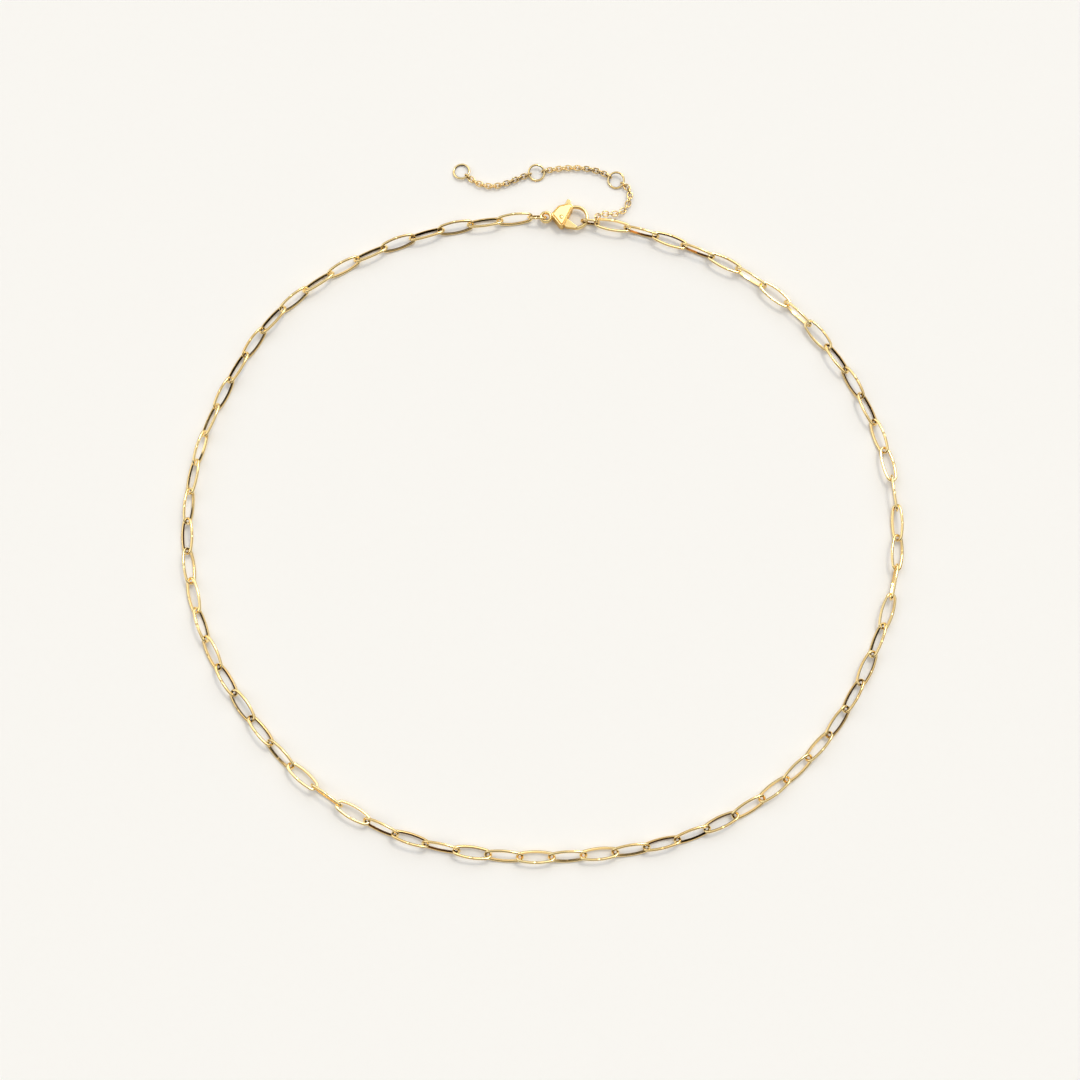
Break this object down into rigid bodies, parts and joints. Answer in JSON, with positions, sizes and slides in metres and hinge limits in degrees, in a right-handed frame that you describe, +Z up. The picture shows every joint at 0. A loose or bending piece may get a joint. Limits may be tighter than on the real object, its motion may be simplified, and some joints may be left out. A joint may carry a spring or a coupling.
{
  "type": "paperclip chain necklace",
  "caption": "Necklace of long oval links lying in a loose ring, closed by a working lobster clasp, with a fine extension chain and its rings.",
  "frame": {"origin": "on the surface the necklace lies on, below the centre of the whole necklace's box", "axes": "+Z up from the surface, +Y across the neck opening towards the clasp, +X to the right of it, seen from above"},
  "size_m": [0.134, 0.1349, 0.0028],
  "materials": {
    "gold": "polished yellow gold plate"
  },
  "bodies": {
    "necklace": {"paperclip_chain": "gold", "clasp_jump_ring": "gold", "clasp_body": "gold", "clasp_pin": "gold", "end_jump_ring": "gold", "extender_run_1": "gold", "extender_run_2": "gold", "extender_run_3": "gold", "extender_ring_1": "gold", "extender_ring_2": "gold", "extender_ring_3": "gold"},
    "lever": {"clasp_lever": "gold"}
  },
  "joints": [
    {"name": "lever_hinge", "type": "hinge", "parent": "necklace", "child": "lever", "pos_m": [0.00363, 0.05547, 0.0012], "axis": [0, 0, 1], "range_deg": [0, 25], "stiffness_Nm_per_rad": 0.004, "springref_deg": -17.19}
  ]
}
